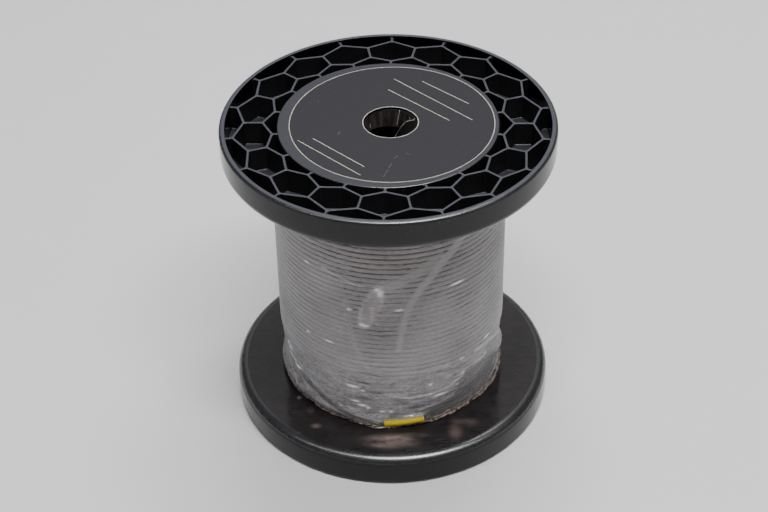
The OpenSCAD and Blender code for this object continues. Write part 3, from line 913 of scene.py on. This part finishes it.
# Milkiness less the painted shade of the groove lines, more at creases and at the painted
# highlights.
grain = clouds(tree, drawn, 1.8)
patchy = calc(tree, "MULTIPLY", calc(tree, "SUBTRACT", rumple, 0.56), crumple)
veil = calc(tree, "MULTIPLY_ADD", patchy, 0.4, milk)
speckled = ranged(tree, grain, 0.3, 0.7, -0.08, 0.08)
veil = calc(tree, "MULTIPLY_ADD", speckled, calc(tree, "MULTIPLY_ADD", crumple, 2.2, 0.5), veil)
veil = calc(tree, "MULTIPLY", veil, ranged(tree, milk, 0, 0.2))
veil = calc(tree, "MULTIPLY", veil, calc(tree, "MULTIPLY_ADD", line, -0.55, 1))
veil = calc(tree, "MULTIPLY_ADD", glint, 0.9, veil, use_clamp=True)
# The tint: browner where the film is doubled, darkened by painted shade where it stands off, and
# near white at the painted highlights.
tint = mixed(tree, ranged(tree, veil, 0.15, 0.75), "#8f857e", "#c5c2c4")
for share, shade in ((warm, "#a19389"), (shadow, "#37322f"), (glint, "#fffdf6")):
    tint = mixed(tree, share, tint, shade)
feed(shader, {"Alpha": veil, "Base Color": tint,
              "Roughness": ranged(tree, crumple, 0, 1, 0.34, 0.14)})
film.data.materials.append(film_plastic)

# The hem: the film's edge rolled up on itself into two lumpy strands, loosely twisted, and a
# thinner, looser pleat just above them.
HEM_STEPS = 720
TWISTS = 17                      # full turns of the two strands, once round the reel
curve = bpy.data.curves.new("film_hem", "CURVE")
curve.dimensions = "3D"
curve.bevel_depth = HEM_D / 2 * MM
curve.bevel_resolution = 2
for strand, thickness in enumerate((1, 1, 0.55)):
    spline = curve.splines.new("POLY")
    spline.use_cyclic_u = True
    spline.points.add(HEM_STEPS - 1)
    for k, point in enumerate(spline.points):
        a = 360 * k / HEM_STEPS
        twist = radians(a * TWISTS + 180 * strand)
        r, h = hem_place(a)
        r += 0.3 * cos(twist) + 0.12 * noise.noise(Vector((a * 0.35, 2.5, strand)))
        h += 0.3 * sin(twist) + 0.1 * noise.noise(Vector((a * 0.3, 7.5, strand)))
        if strand == 2:
            h += 1.2 + 0.8 * noise.noise(Vector((a * 0.06, 1.5, 0)))
            r -= 0.1
        point.co = (*polar(r, a, h + 0.1), 1)
        point.radius = thickness * (1 + 0.5 * noise.noise(Vector((a * 0.55, 4.5, strand))))
        point.tilt = k * 0.12
hem = meshed("film_hem", curve)
# Rolled film: many thicknesses, so brownish and only half clear, with sharp glints.
rolled_film, tree, shader = finish_of("rolled_polyethylene_film", Roughness=0.15, IOR=1.5,
                                      Alpha=0.8)
strand = clouds(tree, place_in(tree), 1.6, Detail=3, Distortion=0.8)
feed(shader, {"Base Color": mixed(tree, ranged(tree, strand, 0.35, 0.7), "#3d322d", "#c4b1a2")})
raised(shader, strand, 0.5)
hem.data.materials.append(rolled_film)

for piece in (film, hem):
    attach(piece, "reel")
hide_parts("film_wrap")

# ---- The label ----
# A disc of black anodised foil on a pale carrier, stuck on by hand a millimetre off centre.
# The laser that cut it left a cream line along its edge and round its hole.
LABEL_R, LABEL_T, LABEL_SHIFT = 38.0, 0.15, 1.4
HOLE_R, HOLE_SHIFT = 10.1, 0.9
LABEL_BASE = REEL_TOP - FLANGE_DEPTH + HUB_TOP
CUT_LINE = 0.32                  # the width of the line that the laser burnt
bpy.ops.mesh.primitive_circle_add(vertices=180, radius=LABEL_R * MM,
                                  location=(LABEL_SHIFT * MM, 0, LABEL_BASE * MM))
bpy.ops.object.transform_apply(location=True, rotation=False, scale=False)
label = bpy.context.object
label.name = "foil_label"
edit_all()
bpy.ops.mesh.primitive_circle_add(vertices=180, radius=HOLE_R * MM,
                                  location=(HOLE_SHIFT * MM, 0, LABEL_BASE * MM))
edit_all()
bpy.ops.mesh.bridge_edge_loops()
weld()
extrude(0, 0, LABEL_T)
bpy.ops.mesh.inset(thickness=CUT_LINE * MM, use_boundary=True, use_even_offset=True)
done()

# Anodised aluminium foil, black: satin, with faint rub marks and a little dust.
foil = grained("black_anodised_foil", "#28262b", level=0.26, grain=0.3, depth=0.006,
               smooth=0.5, rough=0.62)
# Cream carrier, bared by the laser.
carrier = mottled("cream_carrier", 0.8, "#8d8c7c", "#d2d0bf", Roughness=0.6, IOR=1.5)
label.data.materials.append(foil)
label.data.materials.append(carrier)
for face in label.data.polygons:
    x, y = face.center.xy / MM
    outer = hypot(x - LABEL_SHIFT, y)
    inner = hypot(x - HOLE_SHIFT, y)
    face.material_index = 1 if outer > LABEL_R - CUT_LINE or inner < HOLE_R + CUT_LINE else 0
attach(label, "reel")
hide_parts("label")


def strips(name, lines, width, thickness, steps):
    """Thin strips on the label's face, joined, one for each (start, end) in mm."""
    pieces = []
    for (x0, y0), (x1, y1) in lines:
        bpy.ops.mesh.primitive_grid_add(x_subdivisions=steps, y_subdivisions=1, size=1)
        edit_all()
        bpy.ops.transform.resize(value=(hypot(x1 - x0, y1 - y0) * MM, width * MM, 1))
        extrude(0, 0, thickness)
        bpy.ops.object.mode_set(mode="OBJECT")
        middle = Vector(((x0 + x1) / 2, (y0 + y1) / 2, LABEL_BASE + LABEL_T))
        bpy.context.object.data.transform(
            Matrix.Translation(middle * MM)
            @ Matrix.Rotation(atan2(y1 - y0, x1 - x0), 4, "Z"))
        pieces.append(bpy.context.object)
    joined = join(pieces)
    joined.name = name
    return joined


# Blank rules to write on, burnt into the face down to the carrier: (start, end) in mm.
RULES = [((12.25, 27.75), (29.75, 12.4)), ((1.5, 29.4), (31, 1.5)), ((-0.5, 21.9), (22.6, 1.1)),
         ((-27, -10.9), (-7.75, -28.5)), ((-32.6, -12), (-8.9, -33.6))]
rules = strips("label_rules", RULES, width=0.32, thickness=0.01, steps=24)
rules.data.materials.append(carrier)
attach(rules, "reel")

# Scratches in the foil, as bare metal hairs: (start, end) in mm.
SCRATCHES = [((-0.75, -34.5), (0.6, -30.2)), ((0.9, -29.3), (2.0, -26.3)),
             ((2.75, -23.3), (4.1, -21.6)), ((6.9, -19.8), (8.6, -21.2)),
             ((-18.2, -8.4), (-17.4, -6.2)), ((-26.8, 14.2), (-26.4, 13.4))]
scratches = strips("label_scratches", SCRATCHES, width=0.1, thickness=0.004, steps=6)
scored_foil = mottled("scored_foil", 0.7, "#2e2c30", "#a5a3a6", detail=2, Roughness=0.5)
scratches.data.materials.append(scored_foil)
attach(scratches, "reel")

# ---- The flap ----
# The disc that the laser cut out of the label was pushed in, and hangs in the bore from the
# stretch of its edge that held. It has taken a slight curl, and its cut edge is cream too.
CREASE_X = 10.2
FLAP_R, FLAP_T = 9.95, 0.13
FLAP_START, FLAP_CURL = radians(53), radians(0.5)   # slope at the crease, per mm
FLAP_LINE = 0.5                  # the cut line's width; the beam met the flap aslant
FLAP_SUNK = 0.04                 # how far the crease lies below the label's face
BORE_FREE_R = 9.85
bpy.ops.mesh.primitive_circle_add(vertices=96, radius=FLAP_R * MM, fill_type="TRIFAN")
flap = bpy.context.object
flap.name = "label_flap_sheet"
edit_all()
bpy.ops.mesh.subdivide(number_cuts=5)
mesh = bmesh.from_edit_mesh(flap.data)
for vertex in mesh.verts:
    if vertex.co.xy.length > 0.93 * FLAP_R * MM:
        vertex.co.xy = vertex.co.xy.normalized() * min(FLAP_R * MM, vertex.co.xy.length * 1.02)
bmesh.update_edit_mesh(flap.data)
bpy.ops.mesh.select_mode(type="FACE")
edit_all()
bpy.ops.mesh.inset(thickness=FLAP_LINE * MM, use_boundary=True, use_even_offset=True)
edit_all()
bpy.ops.mesh.bisect(plane_co=((CREASE_X - HOLE_SHIFT - 0.2) * MM, 0, 0), plane_no=(1, 0, 0),
                    clear_outer=True)
bpy.ops.object.mode_set(mode="OBJECT")
# The same foil, painted darker as painted shade, for the shade of the bore that it hangs in.
foil_painted_shade = grained("foil_painted_shade", "#0e0d10", level=0.2, grain=0.3, depth=0.006,
                     smooth=0.5, rough=0.62)
flap.data.materials.append(foil_painted_shade)
flap.data.materials.append(carrier)
for face in flap.data.polygons:
    x, y = face.center.xy / MM
    at_rim = hypot(x, y) > FLAP_R - FLAP_LINE and x < (8.5 if y > 0 else 4)
    face.material_index = 1 if at_rim else 0
for vertex in flap.data.vertices:
    s = (CREASE_X - HOLE_SHIFT) - vertex.co.x / MM
    slope = FLAP_START + FLAP_CURL * s
    across = (sin(slope) - sin(FLAP_START)) / FLAP_CURL
    down = (cos(FLAP_START) - cos(slope)) / FLAP_CURL
    # The disc is wider than the bore, whose wall turns its sides up.
    x, y = CREASE_X - across, vertex.co.y / MM
    free_r = BORE_FREE_R + 0.6 * max(BORE_CHAMFER - down, 0)
    half = sqrt(max(FLAP_R ** 2 - (vertex.co.x / MM) ** 2, 0.01))
    squeeze = max(half - sqrt(free_r ** 2 - x * x), 0)
    lift = 0.4 * squeeze * (abs(y) / half) ** 3 * float(smooth((s - 3) / 5))
    y *= 1 - squeeze / half
    vertex.co = (x * MM, y * MM, (LABEL_BASE + LABEL_T - FLAP_SUNK - down + lift) * MM)
solid = flap.modifiers.new("foil", "SOLIDIFY")
solid.thickness = FLAP_T * MM
solid.offset = -1
bpy.context.view_layer.objects.active = flap
flap.select_set(True)
bpy.ops.object.modifier_apply(modifier="foil")
weld()
done()
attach(flap, "flap")
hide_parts("label_flap")
